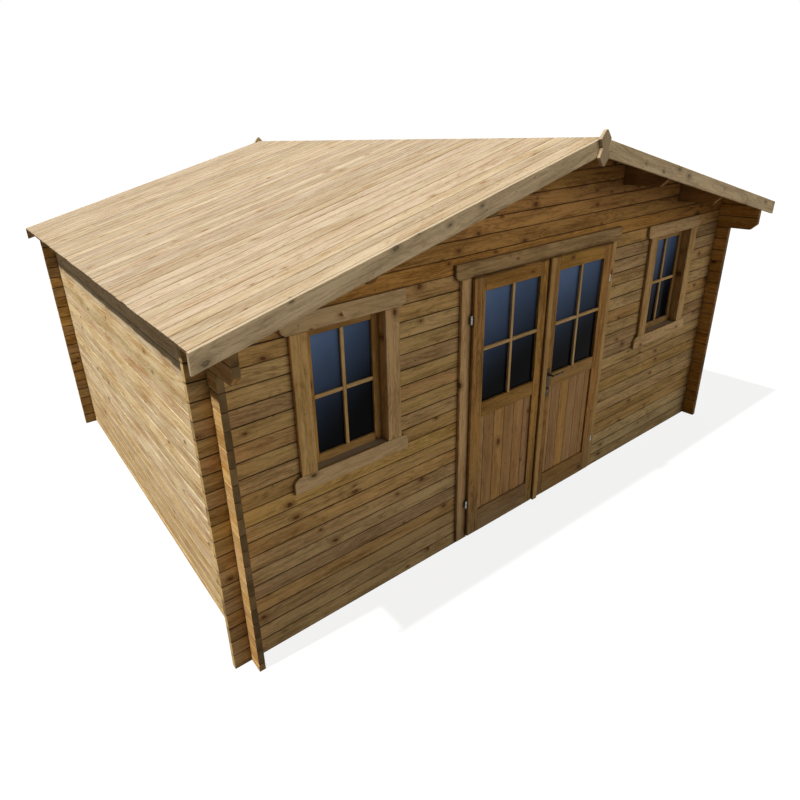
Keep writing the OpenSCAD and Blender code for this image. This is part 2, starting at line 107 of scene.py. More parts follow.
def front_tone(tree, x, y, z):
    """A random tone for each log; those of the front stop at the doorway, those of the back don't."""
    number = sum_up(tree, "FLOOR", sum_up(tree, "DIVIDE", sum_up(tree, "ADD", z, JOINT_NUDGE), COURSE))
    back = sum_up(tree, "GREATER_THAN", y, 0.0)
    below = sum_up(tree, "LESS_THAN", z, DOOR_TOP)
    stopped = sum_up(tree, "MULTIPLY", below, sum_up(tree, "SUBTRACT", 1.0, back))
    right = sum_up(tree, "MULTIPLY", sum_up(tree, "GREATER_THAN", x, 0.0), stopped)
    key = put(tree, "CombineXYZ", {0: number, 1: right, 2: back})
    return put(tree, "TexWhiteNoise", {"Vector": key}, noise_dimensions="3D")


def side_tone(tree, x, y, z):
    """A random tone for each log of the side walls, half a course higher than the front."""
    lifted = sum_up(tree, "ADD", z, COURSE / 2 + JOINT_NUDGE)
    number = sum_up(tree, "FLOOR", sum_up(tree, "DIVIDE", lifted, COURSE))
    right = sum_up(tree, "GREATER_THAN", x, 0.0)
    key = put(tree, "CombineXYZ", {0: number, 1: right, 2: 5.0})
    return put(tree, "TexWhiteNoise", {"Vector": key}, noise_dimensions="3D")


def log_joint(lift, under, over):
    """Soil and painted shade round the joint between two courses, from 1 in it to 0 a few millimetres away.
    """
    def joint(tree, x, y, z):
        step = sum_up(tree, "FRACT", sum_up(tree, "DIVIDE", sum_up(tree, "ADD", z, lift), COURSE))
        above = ramp(tree, sum_up(tree, "MULTIPLY", step, COURSE), over * 0.5, over, 1.0, 0.0)
        below = ramp(tree, sum_up(tree, "MULTIPLY", sum_up(tree, "SUBTRACT", 1.0, step), COURSE),
                     under * 0.5, under, 1.0, 0.0)
        return sum_up(tree, "MAXIMUM", above, below)
    return joint


def pine(name, grain, pale, brown, tone_of, joint_of, knots=0.12, pins=0.05,
         knot_colour=KNOT_BROWN, heart=KNOT_RED, contrast=1.1, vary=1.0, line_darkness=0.75, crevice_shade=0.6,
         ends=None, top=None, wet=None, amber_shade=None):
    """Planed softwood with the grain along the first letter of grain, its width along the second."""
    finish, tree, shader = new_finish(name)
    coords = tree.nodes.new("ShaderNodeTexCoord")
    place = dict(zip("xyz", put(tree, "SeparateXYZ", {0: coords.outputs["Object"]}).node.outputs))
    facing = dict(zip("xyz", put(tree, "SeparateXYZ", {0: coords.outputs["Normal"]}).node.outputs))
    third = ({"x", "y", "z"} - set(grain)).pop()
    tone = tone_of(tree, place["x"], place["y"], place["z"])
    along = sum_up(tree, "MULTIPLY_ADD", tone, 61.0, place[grain[0]])
    across = sum_up(tree, "MULTIPLY_ADD", tone, 3.7, place[grain[1]])
    deep = place[third]

    # Noise drawn out along the grain: wandering rings, broad stains, streaks, flecks and dry cracks
    def drawn(u, v, detail, crisp=0.5):
        stretched = put(tree, "CombineXYZ", {0: sum_up(tree, "MULTIPLY", along, u),
                                             1: sum_up(tree, "MULTIPLY", across, v),
                                             2: sum_up(tree, "MULTIPLY", deep, v)})
        return put(tree, "TexNoise", {"Vector": stretched, "Scale": 1.0, "Detail": detail,
                                      "Roughness": crisp})
    sway = drawn(1.3, 9.0, 2.0)
    stain = drawn(2.4, 13.0, 2.0)
    streak = drawn(2.2, 55.0, 4.0, 0.62)
    speck = drawn(34.0, 190.0, 2.0)
    fleck = ramp(tree, speck, 0.40, 0.62)
    fibre = drawn(9.0, 420.0, 2.0)
    crack = drawn(3.2, 130.0, 1.5)

    # Knots: a few cells of a plane keep one, drawn out along the grain, which bends round it
    def knot_cells(scale, slim, share, smallest, spread):
        cells = tree.nodes.new("ShaderNodeTexVoronoi")
        cells.voronoi_dimensions = "2D"
        cells.inputs["Scale"].default_value = scale
        slant = sum_up(tree, "MULTIPLY_ADD", stain, 0.03, sum_up(tree, "MULTIPLY_ADD", along, 0.06, across))
        tree.links.new(put(tree, "CombineXYZ", {0: sum_up(tree, "MULTIPLY", along, slim), 1: slant}),
                       cells.inputs["Vector"])
        chance = put(tree, "SeparateColor", {0: cells.outputs["Color"]}).node.outputs
        kept = sum_up(tree, "GREATER_THAN", chance[0], 1.0 - share)
        size = sum_up(tree, "MULTIPLY_ADD", chance[1], spread, smallest)
        ragged = sum_up(tree, "MULTIPLY_ADD", streak, 0.16, cells.outputs["Distance"])
        ragged = sum_up(tree, "MULTIPLY_ADD", speck, 0.14, ragged)
        return kept, sum_up(tree, "DIVIDE", sum_up(tree, "SUBTRACT", ragged, 0.15), size)
    kept, away = knot_cells(9.0, 0.6, knots, 0.034, 0.07)
    core = sum_up(tree, "MULTIPLY", ramp(tree, away, 0.7, 1.1, 1.0, 0.0), kept)
    halo = sum_up(tree, "MULTIPLY", ramp(tree, away, 0.9, 4.4, 1.0, 0.0), kept)
    pin_kept, pin_away = knot_cells(23.0, 0.6, pins, 0.04, 0.07)
    pin = sum_up(tree, "MULTIPLY", ramp(tree, pin_away, 0.5, 1.3, 0.6, 0.0), pin_kept)

    phase = sum_up(tree, "MULTIPLY_ADD", sway, 13.0, sum_up(tree, "MULTIPLY", across, 34.0))
    phase = sum_up(tree, "MULTIPLY_ADD", halo, 2.2, phase)
    swing = sum_up(tree, "SINE", sum_up(tree, "MULTIPLY", phase, 2 * math.pi))
    rings = sum_up(tree, "POWER", sum_up(tree, "MULTIPLY_ADD", swing, 0.5, 0.5), 2.2)

    shade = sum_up(tree, "MULTIPLY_ADD", rings, 0.3 * contrast, 0.4 - 1.98 * contrast)
    for noise, weight in ((stain, 1.6), (streak, 1.3), (fleck, 0.24), (fibre, 0.6)):
        shade = sum_up(tree, "MULTIPLY_ADD", noise, weight * contrast, shade)
    wood = tint(tree, put(tree, "Clamp", {0: shade}), pale, brown)
    second = sum_up(tree, "FRACT", sum_up(tree, "MULTIPLY", tone, 7.31))
    other = sum_up(tree, "FRACT", sum_up(tree, "MULTIPLY", tone, 13.7))
    hue = sum_up(tree, "MULTIPLY_ADD", second, 0.009 * vary, 0.5 - 0.0045 * vary)
    strength = sum_up(tree, "MULTIPLY_ADD", other, 0.14 * vary, 1.0 - 0.07 * vary)
    light = sum_up(tree, "MULTIPLY_ADD", tone, 0.26 * vary, 1.0 - 0.13 * vary)
    wood = put(tree, "HueSaturation", {"Hue": hue, "Saturation": strength, "Value": light, "Color": wood})
    wood = tint(tree, ramp(tree, crack, 0.62, 0.76, 0.0, 0.6), wood, brown)
    wood = tint(tree, sum_up(tree, "MULTIPLY", halo, 0.4), wood, brown)
    wood = tint(tree, sum_up(tree, "MULTIPLY", sum_up(tree, "POWER", halo, 2.5), 0.45), wood, heart)
    rim = sum_up(tree, "MULTIPLY", core, ramp(tree, away, 0.3, 0.85, 0.25, 0.95))
    wood = tint(tree, sum_up(tree, "MULTIPLY", core, 0.7), wood, heart)
    wood = tint(tree, sum_up(tree, "MAXIMUM", rim, pin), wood, knot_colour)

    # Soil and painted shade in the joints, painted shade in corners and crevices, and rain splash near the
    # ground
    joint = joint_of(tree, place["x"], place["y"], place["z"])
    soil_and_shade_lines = sum_up(tree, "MULTIPLY", joint, ramp(tree, stain, 0.36, 0.6, 0.6 * line_darkness, line_darkness))
    wood = tint(tree, soil_and_shade_lines, wood, SOIL_AND_SHADE)
    # Painted shade: ambient occlusion darkens corners and crevices towards the soil colour
    open_air = put(tree, "AmbientOcclusion", {"Distance": 0.03}, out=1, samples=4)
    wood = tint(tree, ramp(tree, open_air, 0.3, 0.9, crevice_shade, 0.0), wood, SOIL_AND_SHADE)
    if wet:
        height = sum_up(tree, "MULTIPLY_ADD", stain, 0.4, place["z"])
        wood = soak(tree, ramp(tree, height, 0.15, 0.95, 1.0, 0.0), wood, wet)

    # On the inner face of a side wall and on its arms the wood is darkened to amber: partly wood that the
    # sun has not bleached, partly painted shade on the inner faces that the sun doesn't reach
    if amber_shade:
        outward = sum_up(tree, "MULTIPLY", facing["x"], sum_up(tree, "SIGN", place["x"]))
        reach = sum_up(tree, "ABSOLUTE", sum_up(tree, "SUBTRACT", place["y"], WALLS_MID))
        arm = ramp(tree, reach, WALLS_HALF, WALLS_HALF + 0.01, 0.0, 0.7)
        inner_faces_and_arms = sum_up(tree, "MAXIMUM", arm, ramp(tree, outward, -0.9, -0.3, 1.0, 0.0))
        wood = soak(tree, inner_faces_and_arms, wood, amber_shade)

    # Faces that look up take a colour of their own: dust on the window sills, painted shade on the tops of
    # the trims and the bargeboards
    if top:
        wood = tint(tree, ramp(tree, facing["z"], 0.5, 0.95, 0.0, 0.85), wood, top)

    # End grain shows the rings as arcs; it is dark, turning lighter high up under the roof
    end = ramp(tree, sum_up(tree, "ABSOLUTE", facing[grain[0]]), 0.7, 0.9)
    width = place[grain[1]]
    radius = sum_up(tree, "SQRT", sum_up(tree, "MULTIPLY_ADD", width, width,
                                         sum_up(tree, "MULTIPLY", deep, deep)))
    arc = sum_up(tree, "SINE", sum_up(tree, "MULTIPLY_ADD", stain, 9.0,
                                      sum_up(tree, "MULTIPLY", radius, 700.0)))
    sawn = tint(tree, sum_up(tree, "MULTIPLY_ADD", arc, 0.15, 0.3), ends or brown, SOIL_AND_SHADE)
    if ends:
        sawn = tint(tree, ramp(tree, place["z"], 1.84, 1.9, 0.0, 0.6), sawn, brown)
        patch = sum_up(tree, "MULTIPLY_ADD", stain, 1.3, sum_up(tree, "MULTIPLY_ADD", tone, 0.9, -0.1))
        sawn = put(tree, "HueSaturation", {"Value": patch, "Color": sawn})
        sawn = tint(tree, soil_and_shade_lines, sawn, SOIL_AND_SHADE)
    wood = tint(tree, end, wood, sawn)
    tree.links.new(wood, shader.inputs["Base Color"])
    tree.links.new(sum_up(tree, "MULTIPLY_ADD", fibre, 0.25, 0.6), shader.inputs["Roughness"])
    shader.inputs["Specular IOR Level"].default_value = 0.08
    relief = sum_up(tree, "MULTIPLY_ADD", rings, -0.35, sum_up(tree, "MULTIPLY_ADD", core, -0.4, fibre))
    bump = put(tree, "Bump", {"Height": relief, "Strength": 0.4, "Distance": 0.0015})
    tree.links.new(bump, shader.inputs["Normal"])
    return finish


def dress(material, *names):
    """Gives CAD nodes their finish."""
    for name in names:
        solids[name].data.materials.clear()
        solids[name].data.materials.append(material)


front_joint = log_joint(0.0, 0.005, 0.006)
dress(pine("front_log", "xz", FRONT_PALE, FRONT_BROWN, front_tone, front_joint, knots=0.18,
           contrast=1.12, vary=1.3, line_darkness=0.92, ends=FRONT_END, wet=FRONT_WET),
      "front_wall_left", "front_wall_right", "back_wall")
# The gable logs are darker and more orange than the front below: partly their own colour, partly painted
# shade under the roof
dress(pine("gable_log_shaded", "xz", GABLE_SHADED_PALE, GABLE_SHADED_BROWN, front_tone, front_joint, knots=0.4,
           contrast=1.25, ends=FRONT_END),
      "front_gable", "back_gable")
dress(pine("side_log", "yz", SIDE_SUNLIT_PALE, SIDE_SUNLIT_BROWN, side_tone, log_joint(COURSE / 2, 0.0028, 0.0065),
           knots=0.05, pins=0.02, contrast=1.3, crevice_shade=0.2, ends=SIDE_END, wet=SIDE_WET,
           amber_shade=SIDE_AMBER_SHADE),
      "left_wall", "right_wall")

# Purlins: two beams under each roof slope, sawn from the same softwood as the logs, let into both
# gables and run out under the verges, where their lower corner is cut away.
PURLIN_PALE, PURLIN_BROWN = (0.44, 0.24, 0.075), (0.25, 0.12, 0.034)
PURLIN_SOILED, PURLIN_CLEAN = 0.06, 0.12


def purlin_tone(tree, x, y, z):
    return put(tree, "TexWhiteNoise", {"W": sum_up(tree, "FLOOR", sum_up(tree, "MULTIPLY", x, 1.3))},
               noise_dimensions="1D")


def purlin_joint(tree, x, y, z):
    """Soil where a purlin passes through a gable wall."""
    reach = sum_up(tree, "ABSOLUTE", sum_up(tree, "SUBTRACT", y, WALLS_MID))
    gap = sum_up(tree, "ABSOLUTE", sum_up(tree, "SUBTRACT", reach, WALLS_HALF))
    return ramp(tree, gap, PURLIN_SOILED, PURLIN_CLEAN, 1.0, 0.0)


dress(pine("purlin_timber", "yz", PURLIN_PALE, PURLIN_BROWN, purlin_tone, purlin_joint, line_darkness=0.3),
      "purlins")

# Roof boards: bare tongued pine boards 18 mm thick, nailed down the slope from the ridge to the
# eave with a V joint every 101 mm. Some are made up of two lengths, and their feet are uneven.
PITCH = math.radians(14)
BOARDS = 41
ROOF_THICK = 0.018
ROOF_V = 0.0048
UNEVEN_FOOT, UNEVEN_FACE = 0.004, 0.0008
IN_TWO_LENGTHS, SHORTEST, BUTT_GAP = 0.45, 0.3, 0.0007
ROOF_PALE, ROOF_BROWN = (0.585, 0.472, 0.325), (0.335, 0.215, 0.108)
ROOF_KNOT, ROOF_HEART = (0.16, 0.075, 0.03), (0.40, 0.23, 0.10)


def board_tone(tree, x, y, z):
    return put(tree, "Attribute", {}, out="Fac", attribute_name="tone")


def board_joint(tree, x, y, z):
    return put(tree, "Attribute", {}, out="Fac", attribute_name="seam")


class Timber:
    """Boards gathered into one joined mesh; each has its own tone, and soil along its V joints."""

    def __init__(self, name, seed):
        self.name = name
        self.draw = random.Random(seed)
        self.mesh = bmesh.new()
        self.tone = self.mesh.verts.layers.float.new("tone")
        self.seam = self.mesh.verts.layers.float.new("seam")

    def prism(self, rings, seams=None):
        """A board from matching rings of corners, closed at both ends."""
        tone = self.draw.random()
        rows = []
        for ring in rings:
            rows.append([self.mesh.verts.new(corner) for corner in ring])
            for number, vert in enumerate(rows[-1]):
                vert[self.tone] = tone
                vert[self.seam] = seams[number] if seams else 0.0
        count = len(rows[0])
        for one, two in zip(rows, rows[1:]):
            for k in range(count):
                n = (k + 1) % count
                self.mesh.faces.new((one[k], one[n], two[n], two[k]))
        self.mesh.faces.new(rows[0][::-1])
        self.mesh.faces.new(rows[-1])

    def tongued(self, low, high, along, face, cut, lean=0.0):
        """A tongued board with V cuts along the edges of both faces; lean cuts its start plumb."""
        a = "xyz".index(along)
        c = "xyz".index(face)
        b = 3 - a - c
        thin = 0.00005  # Half the gap to the next board
        section = [(thin, cut), (cut, 0), (-cut, 0), (-thin, cut),
                   (-thin, -cut), (-cut, 0), (cut, 0), (thin, -cut)]
        at_high = (0, 0, 0, 0, 1, 1, 1, 1)
        rings = []
        for reach in (low[a], high[a]):
            ring = []
            for (p, q), upper in zip(section, at_high):
                corner = Vector((0, 0, 0))
                corner[b] = (low[b] if p > 0 else high[b]) + p
                corner[c] = (high[c] if upper else low[c]) + q
                corner[a] = reach + (lean * (high[c] - corner[c]) if reach == low[a] else 0.0)
                ring.append(corner)
            rings.append(ring)
        self.prism(rings, (1, 0, 0, 1, 1, 0, 0, 1))

    def piece(self, material, body, slot, *replaced, place=None):
        """Makes the joined mesh a piece that rides on a body and stands for CAD nodes."""
        bmesh.ops.recalc_face_normals(self.mesh, faces=self.mesh.faces)
        data = bpy.data.meshes.new(self.name)
        self.mesh.to_mesh(data)
        self.mesh.free()
        data.materials.append(material)
        made = bpy.data.objects.new(self.name, data)
        bpy.context.scene.collection.objects.link(made)
        if place:
            made.matrix_world = place
        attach(made, body)
        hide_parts(*replaced)


def down_slope(side, start):
    """Place of a piece made flat: its X runs down the slope from start and its Z square to it."""
    down = Vector((side * math.cos(PITCH), 0, -math.sin(PITCH)))
    up = Vector((side * math.sin(PITCH), 0, math.cos(PITCH)))
    turn = Matrix((down, Vector((0, side, 0)), up)).transposed().to_4x4()
    return Matrix.Translation(start) @ turn


roof_board = pine("roof_board", "xy", ROOF_PALE, ROOF_BROWN, board_tone, board_joint, knots=0.07,
                  pins=0.2, knot_colour=ROOF_KNOT, heart=ROOF_HEART, contrast=1.0, vary=0.9,
                  line_darkness=1.0, crevice_shade=0.3)
for side, node, seed in ((-1, "roof_left", 11), (1, "roof_right", 12)):
    low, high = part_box(node)
    length = (high.x - low.x) / math.cos(PITCH)
    step = (high.y - low.y) / BOARDS
    boards = Timber(f"{node}_boards", seed)
    for number in range(BOARDS):
        y = low.y + number * step
        cuts = [0.0, length - boards.draw.uniform(0.0, UNEVEN_FOOT)]
        if boards.draw.random() < IN_TWO_LENGTHS:
            cuts.insert(1, boards.draw.uniform(SHORTEST, length - SHORTEST))
        sunk = boards.draw.uniform(0.0, UNEVEN_FACE)
        for top, foot in zip(cuts, cuts[1:]):
            boards.tongued((top + (BUTT_GAP if top else 0.0), y, -ROOF_THICK), (foot, y + step, -sunk),
                           "x", "z", ROOF_V, 0.0 if top else math.tan(PITCH))
    ridge = Vector((high.x if side < 0 else low.x, 0, high.z))
    boards.piece(roof_board, "cabin", "roof_board", node, place=down_slope(side, ridge))

# Bargeboards: one pine board down each slope at the front and back, cut plumb, with eased edges,
# nailed to the ends of the roof, purlins and brackets. The weather has turned them grey beige.
BARGE_DEEP, BARGE_ARRIS = 0.093, 0.0025
FIT_GAP = 0.0003  # Between boards that meet, here and in the windows and the door
BARGE_PALE, BARGE_BROWN, BARGE_END = (1.0, 0.82, 0.55), (0.56, 0.425, 0.26), (0.66, 0.53, 0.35)
# The colour for the tops of the bargeboards is painted shade that tones down the key light on them
BARGE_KNOT, BARGE_HEART, BARGE_TOP_SHADE = (0.17, 0.13, 0.085), (0.36, 0.285, 0.18), (0.50, 0.40, 0.27)
barge_wood = pine("bargeboard_pine", "xz", BARGE_PALE, BARGE_BROWN, board_tone, board_joint,
                  knots=0.34, pins=0.04, knot_colour=BARGE_KNOT, heart=BARGE_HEART,
                  ends=BARGE_END, top=BARGE_TOP_SHADE)


def eased(width, height, cut):
    """Outline of a squared section with its corners rounded off."""
    near = cut * 0.3
    return [(cut, 0), (width - cut, 0), (width - near, near), (width, cut),
            (width, height - cut), (width - near, height - near), (width - cut, height),
            (cut, height), (near, height - near), (0, height - cut), (0, cut), (near, near)]


for node, seed in (("front_bargeboards", 21), ("back_bargeboards", 22)):
    low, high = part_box(node)
    thick = high.y - low.y
    for side, hand in ((-1, "left"), (1, "right")):
        board = Timber(f"{node[:-1]}_{hand}", seed * 10 + side)
        rings = []
        for reach in (FIT_GAP, high.x / math.cos(PITCH)):
            rings.append([Vector((reach + math.tan(PITCH) * (BARGE_DEEP - z), y - thick / 2, z - BARGE_DEEP))
                          for y, z in eased(thick, BARGE_DEEP, BARGE_ARRIS)])
        board.prism(rings)
        board.piece(barge_wood, "cabin", "bargeboard", node,
                    place=down_slope(side, Vector((0, low.y + thick / 2, high.z))))

# Finials: hourglass pine boards sawn with two shoulders and a waist, nailed over the joint of each
# pair of bargeboards and weathered like them.
FINIAL_WAIST, FINIAL_THICK, FINIAL_ARRIS = 0.054, 0.018, 0.002
FINIAL_PALE, FINIAL_BROWN = (0.80, 0.63, 0.39), (0.50, 0.37, 0.21)
finial_wood = pine("finial_pine", "zx", FINIAL_PALE, FINIAL_BROWN, board_tone, board_joint, knots=0.08,
                   knot_colour=BARGE_KNOT, heart=BARGE_HEART)


def inset(outline, by):
    """A closed outline moved inwards by the same distance all round."""
    count = len(outline)
    area = sum(outline[k][0] * outline[(k + 1) % count][1] - outline[(k + 1) % count][0] * outline[k][1]
               for k in range(count))
    turn = 1 if area > 0 else -1
    moved = []
    for k in range(count):
        back = (Vector(outline[k]) - Vector(outline[k - 1])).normalized()
        on = (Vector(outline[(k + 1) % count]) - Vector(outline[k])).normalized()
        one, two = (Vector((-d.y, d.x)) * turn for d in (back, on))
        moved.append(Vector(outline[k]) + (one + two) * (by / (1.0 + one.dot(two))))
    return moved


def shaped(timber, outline, front, back, arris):
    """A board sawn to an outline in X and Z, with the edges of its front eased."""
    near = 0.3 * arris
    timber.prism([[Vector((x, front, z)) for x, z in inset(outline, arris)],
                  [Vector((x, front + near, z)) for x, z in inset(outline, near)],
                  [Vector((x, front + arris, z)) for x, z in outline],
                  [Vector((x, back, z)) for x, z in outline]])


low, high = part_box("finials")
mid, tall, wide = (low.z + high.z) / 2, (high.z - low.z) / 2, high.x
point, waist = wide / 6, FINIAL_WAIST / 2
hourglass = [(point, tall), (-point, tall), (-wide, tall / 2), (-waist, 0), (-wide, -tall / 2),
             (-point, -tall), (point, -tall), (wide, -tall / 2), (waist, 0), (wide, tall / 2)]
hourglass = [(x, mid + z) for x, z in hourglass]
pair = Timber("finial_boards", 31)
for front, inward in ((low.y, 1), (high.y, -1)):
    pair.prism([[Vector((x, front, z)) for x, z in inset(hourglass, FINIAL_ARRIS)],
                [Vector((x, front + inward * FINIAL_ARRIS, z)) for x, z in hourglass],
                [Vector((x, front + inward * FINIAL_THICK, z)) for x, z in hourglass]])
pair.piece(finial_wood, "cabin", "bargeboard", "finials")

# Window linings: planed pine boards that box in the opening in the logs, with the head and sill let
# in between the sides. They stay browner than the logs, and the sill is grey with dust.
LINING_PALE, LINING_BROWN = (0.56, 0.345, 0.125), (0.33, 0.18, 0.055)
# The side linings, also used for the door jambs, are paler than the head and sill: painted light that makes
# up for the little light reaching these reveals
SIDE_LINING_LIT_PALE, SIDE_LINING_LIT_BROWN = (0.86, 0.53, 0.19), (0.51, 0.28, 0.085)
SILL_DUST = (0.33, 0.28, 0.225)
LINING_THICK = 0.028
lit_lining_side = pine("lining_side_pine", "zx", SIDE_LINING_LIT_PALE, SIDE_LINING_LIT_BROWN, board_tone, board_joint,
                   knots=0.1, crevice_shade=0.25)
lining_end = pine("lining_end_pine", "xy", LINING_PALE, LINING_BROWN, board_tone, board_joint, knots=0.1,
                  crevice_shade=0.4, top=SILL_DUST)


def squared(timber, low, high, along, arris=0.002):
    """A squared timber between two corners, with all its edges eased."""
    a = "xyz".index(along)
    b, c = (a + 1) % 3, (a + 2) % 3
    rings = []
    for reach, less in ((low[a], arris), (low[a] + arris, 0), (high[a] - arris, 0), (high[a], arris)):
        ring = []
        for p, q in eased(high[b] - low[b] - 2 * less, high[c] - low[c] - 2 * less, arris):
            corner = Vector((0, 0, 0))
            corner[a], corner[b], corner[c] = reach, low[b] + less + p, low[c] + less + q
            ring.append(corner)
        rings.append(ring)
    timber.prism(rings)


for hand, seed in (("left", 41), ("right", 42)):
    low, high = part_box(f"{hand}_window_lining")
    sides = Timber(f"{hand}_window_lining_sides", seed)
    squared(sides, low, (low.x + LINING_THICK, high.y, high.z), "z")
    squared(sides, (high.x - LINING_THICK, low.y, low.z), high, "z")
    sides.piece(lit_lining_side, "cabin", "sash_timber", f"{hand}_window_lining")
    ends = Timber(f"{hand}_window_lining_ends", seed + 10)
    x0, x1 = low.x + LINING_THICK + FIT_GAP, high.x - LINING_THICK - FIT_GAP
    squared(ends, (x0, low.y, low.z), (x1, high.y, low.z + LINING_THICK), "x")
    squared(ends, (x0, low.y, high.z - LINING_THICK), (x1, high.y, high.z), "x")
    ends.piece(lining_end, "cabin", "sash_timber", f"{hand}_window_lining")

# Window sashes: planed pine stiles and rails, jointed at the corners and set back in the lining.
# Slim bars on both sides of one pane of glass make it look like two by two panes.
SASH_PALE, SASH_BROWN = (0.60, 0.37, 0.135), (0.35, 0.19, 0.058)
# The bars are paler than the sash: a painted highlight for the light they catch
BAR_LIT_PALE, BAR_LIT_BROWN = (0.80, 0.56, 0.28), (0.52, 0.32, 0.13)
SASH_WIDE = 0.05
BAR_WIDE, BAR_ARRIS = 0.021, 0.0025
GLASS_HALF = 0.0025
sash_upright = pine("sash_upright_pine", "zx", SASH_PALE, SASH_BROWN, board_tone, board_joint, knots=0.05)
sash_level = pine("sash_level_pine", "xz", SASH_PALE, SASH_BROWN, board_tone, board_joint, knots=0.05)
lit_bar_upright = pine("bar_upright_pine", "zx", BAR_LIT_PALE, BAR_LIT_BROWN, board_tone, board_joint, knots=0.0)
lit_bar_level = pine("bar_level_pine", "xz", BAR_LIT_PALE, BAR_LIT_BROWN, board_tone, board_joint, knots=0.0)


def glazing_bars(name, seed, low, high, body, slot, node):
    """Crossed bars on both sides of a pane, flush with the front and back of its frame."""
    upright, level = Timber(f"{name}_upright_bars", seed), Timber(f"{name}_level_bars", seed + 1)
    mid = (Vector(low) + Vector(high)) / 2
    half = BAR_WIDE / 2
    for y0, y1 in ((low[1], mid.y - GLASS_HALF), (mid.y + GLASS_HALF, high[1])):
        squared(upright, (mid.x - half, y0, low[2]), (mid.x + half, y1, high[2]), "z", BAR_ARRIS)
        squared(level, (low[0], y0, mid.z - half), (mid.x - half, y1, mid.z + half), "x", BAR_ARRIS)
        squared(level, (mid.x + half, y0, mid.z - half), (high[0], y1, mid.z + half), "x", BAR_ARRIS)
    upright.piece(lit_bar_upright, body, slot, node)
    level.piece(lit_bar_level, body, slot, node)


for hand, seed in (("left", 61), ("right", 62)):
    node = f"{hand}_window_sash"
    low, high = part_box(node)
    stiles = Timber(f"{hand}_window_stiles", seed)
    rails = Timber(f"{hand}_window_rails", seed + 10)
    x0, x1 = low.x + SASH_WIDE, high.x - SASH_WIDE
    squared(stiles, low, (x0, high.y, high.z), "z")
    squared(stiles, (x1, low.y, low.z), high, "z")
    a, b = x0 + FIT_GAP, x1 - FIT_GAP
    squared(rails, (a, low.y, low.z), (b, high.y, low.z + SASH_WIDE), "x")
    squared(rails, (a, low.y, high.z - SASH_WIDE), (b, high.y, high.z), "x")
    glazing_bars(f"{hand}_window", seed + 20, (x0, low.y, low.z + SASH_WIDE),
                 (x1, high.y, high.z - SASH_WIDE), "cabin", "sash_timber", node)
    stiles.piece(sash_upright, "cabin", "sash_timber", node)
    rails.piece(sash_level, "cabin", "sash_timber", node)

# Panes: thin float glass held in grooves in the sashes and door leaves, left opaque. The dark room
# behind is painted on as painted shade, and a painted reflection of the sky gives the upper left of
# each unit a blue cast.
PANE_ROOM_SHADE, PANE_SKY_REFLECTION = (0.008, 0.0085, 0.010), (0.18, 0.305, 0.63)


def float_glass(node):
    """Opaque glass painted dark for the room behind, with a painted sky reflection that fades down and to
    the right of the unit.
    """
    low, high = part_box(node)
    finish, tree, shader = new_finish(f"{node}_pane")
    spot = put(tree, "TexCoord", {}, out="Object")
    x, z = (put(tree, "SeparateXYZ", {0: spot}, out=axis) for axis in (0, 2))
    mist = put(tree, "TexNoise", {"Vector": spot, "Scale": 2.5, "Detail": 2.0})
    rise = put(tree, "MapRange", {0: z, 1: low.z, 2: high.z})
    run = put(tree, "MapRange", {0: x, 1: low.x, 2: high.x})
    reflection_reach = sum_up(tree, "MULTIPLY_ADD", run, -0.28, sum_up(tree, "MULTIPLY_ADD", mist, 0.25, rise))
    sky_reflection = sum_up(tree, "POWER", put(tree, "MapRange", {0: reflection_reach, 1: 0.1, 2: 1.1}), 2.0)
    tree.links.new(tint(tree, sky_reflection, PANE_ROOM_SHADE, PANE_SKY_REFLECTION), shader.inputs["Base Color"])
    tree.links.new(sum_up(tree, "MULTIPLY_ADD", mist, 0.1, 0.05), shader.inputs["Roughness"])
    shader.inputs["Specular IOR Level"].default_value = 0.012
    dress(finish, node)


for node in ("left_window_glass", "right_window_glass", "left_door_glass", "right_door_glass"):
    float_glass(node)

# Window trims: four pine boards nailed flat on the logs to cover the edge of the lining. The cross
# trims run past the uprights and have their inner corners cut round.
TRIM_PALE, TRIM_BROWN = (0.82, 0.555, 0.27), (0.485, 0.30, 0.123)
# The colour for the tops of the cross trims is painted shade under the roof overhang
CROSS_PALE, CROSS_BROWN, TRIM_TOP_SHADE = (0.87, 0.625, 0.345), (0.54, 0.355, 0.17), (0.22, 0.15, 0.075)
TRIM_WIDE, TRIM_EAR, TRIM_CUT = 0.095, 0.048, 0.03
TRIM_ARRIS = 0.0035
TRIM_WET = (0.66, 0.68, 0.69)
trim_upright = pine("trim_upright_pine", "zx", TRIM_PALE, TRIM_BROWN, board_tone, board_joint, knots=0.1,
                    contrast=1.4, wet=TRIM_WET)
trim_level = pine("trim_level_pine", "xz", CROSS_PALE, CROSS_BROWN, board_tone, board_joint, knots=0.16,
                  contrast=1.4, top=TRIM_TOP_SHADE)


def cross_trim(timber, x0, x1, cut_z, far_z, front, back):
    """A cross trim whose corners are cut round along the edge at cut_z."""
    turn = TRIM_CUT * 0.38
    mid_z = cut_z + math.copysign(TRIM_CUT, far_z - cut_z)
    round_z = cut_z + math.copysign(turn, far_z - cut_z)
    shaped(timber, [(x0 + TRIM_CUT, cut_z), (x1 - TRIM_CUT, cut_z), (x1 - turn, round_z), (x1, mid_z),
                    (x1, far_z), (x0, far_z), (x0, mid_z), (x0 + turn, round_z)],
           front, back, TRIM_ARRIS)


def upright_trim(timber, x, z0, z1, front, back):
    shaped(timber, [(x, z0), (x + TRIM_WIDE, z0), (x + TRIM_WIDE, z1), (x, z1)], front, back, TRIM_ARRIS)


